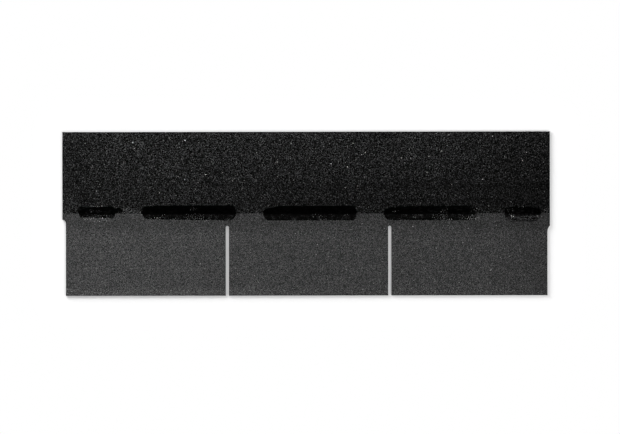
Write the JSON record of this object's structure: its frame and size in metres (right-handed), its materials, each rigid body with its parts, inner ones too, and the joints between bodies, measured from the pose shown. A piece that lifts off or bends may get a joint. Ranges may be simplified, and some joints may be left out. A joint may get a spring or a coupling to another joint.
{
  "type": "three-tab asphalt shingle",
  "caption": "Flat die-cut asphalt roof shingle with narrow cut-outs between its tabs, a dark headlap, a charcoal granule face and black sealant strips.",
  "frame": {"origin": "centre of the bounding rectangle, on the underside of the sheet", "axes": "+X along the sheet, +Y from the lower edge of the tabs to the upper edge of the headlap, +Z out of the weather face"},
  "size_m": [1, 0.336, 0.0038],
  "materials": {
    "mineral_granules": "matte",
    "bitumen_sealant": "satin"
  },
  "bodies": {
    "root": {"shingle_sheet": "mineral_granules", "sealant_left_end": "bitumen_sealant", "sealant_left": "bitumen_sealant", "sealant_middle": "bitumen_sealant", "sealant_right": "bitumen_sealant", "sealant_right_end": "bitumen_sealant"}
  },
  "joints": []
}
